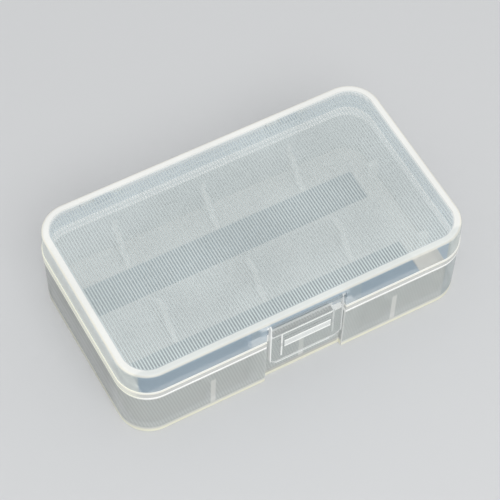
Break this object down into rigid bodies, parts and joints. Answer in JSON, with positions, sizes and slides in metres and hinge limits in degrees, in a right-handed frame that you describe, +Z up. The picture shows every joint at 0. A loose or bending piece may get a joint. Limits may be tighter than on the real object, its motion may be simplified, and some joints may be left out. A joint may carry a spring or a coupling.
{
  "type": "battery storage case",
  "caption": "Flat translucent plastic case for cylindrical cells, with cell cradles on the floor, a lid hinged along the back and a clear pivoting latch at the front",
  "frame": {"origin": "centre of the flat underside, on the table", "axes": "+Z up, +X along the length of the case, -Y towards the latch and +Y towards the hinge"},
  "size_m": [0.0784, 0.05, 0.022],
  "materials": {
    "milky_plastic": "milky translucent, semi matt, the thick edges paler and warmer than the walls",
    "frosted_plastic": "frosted translucent, the top covered in fine parallel lines inside a smooth pale rim",
    "clear_plastic": "clear and glossy with a faint cool tint",
    "pin_steel": "plain drawn wire"
  },
  "bodies": {
    "base": {"base_tray": "milky_plastic", "hinge_pin_left": "pin_steel", "hinge_pin_right": "pin_steel"},
    "lid": {"hinged_lid": "frosted_plastic"},
    "latch": {"front_latch": "clear_plastic"}
  },
  "joints": [
    {"name": "lid_hinge", "type": "hinge", "parent": "base", "child": "lid", "pos_m": [0, 0.0249, 0.0144], "axis": [-1, 0, 0], "range_deg": [0, 180]},
    {"name": "latch_hinge", "type": "hinge", "parent": "lid", "child": "latch", "pos_m": [0, -0.0218, 0.0197], "axis": [-1, 0, 0], "range_deg": [0, 90]}
  ]
}
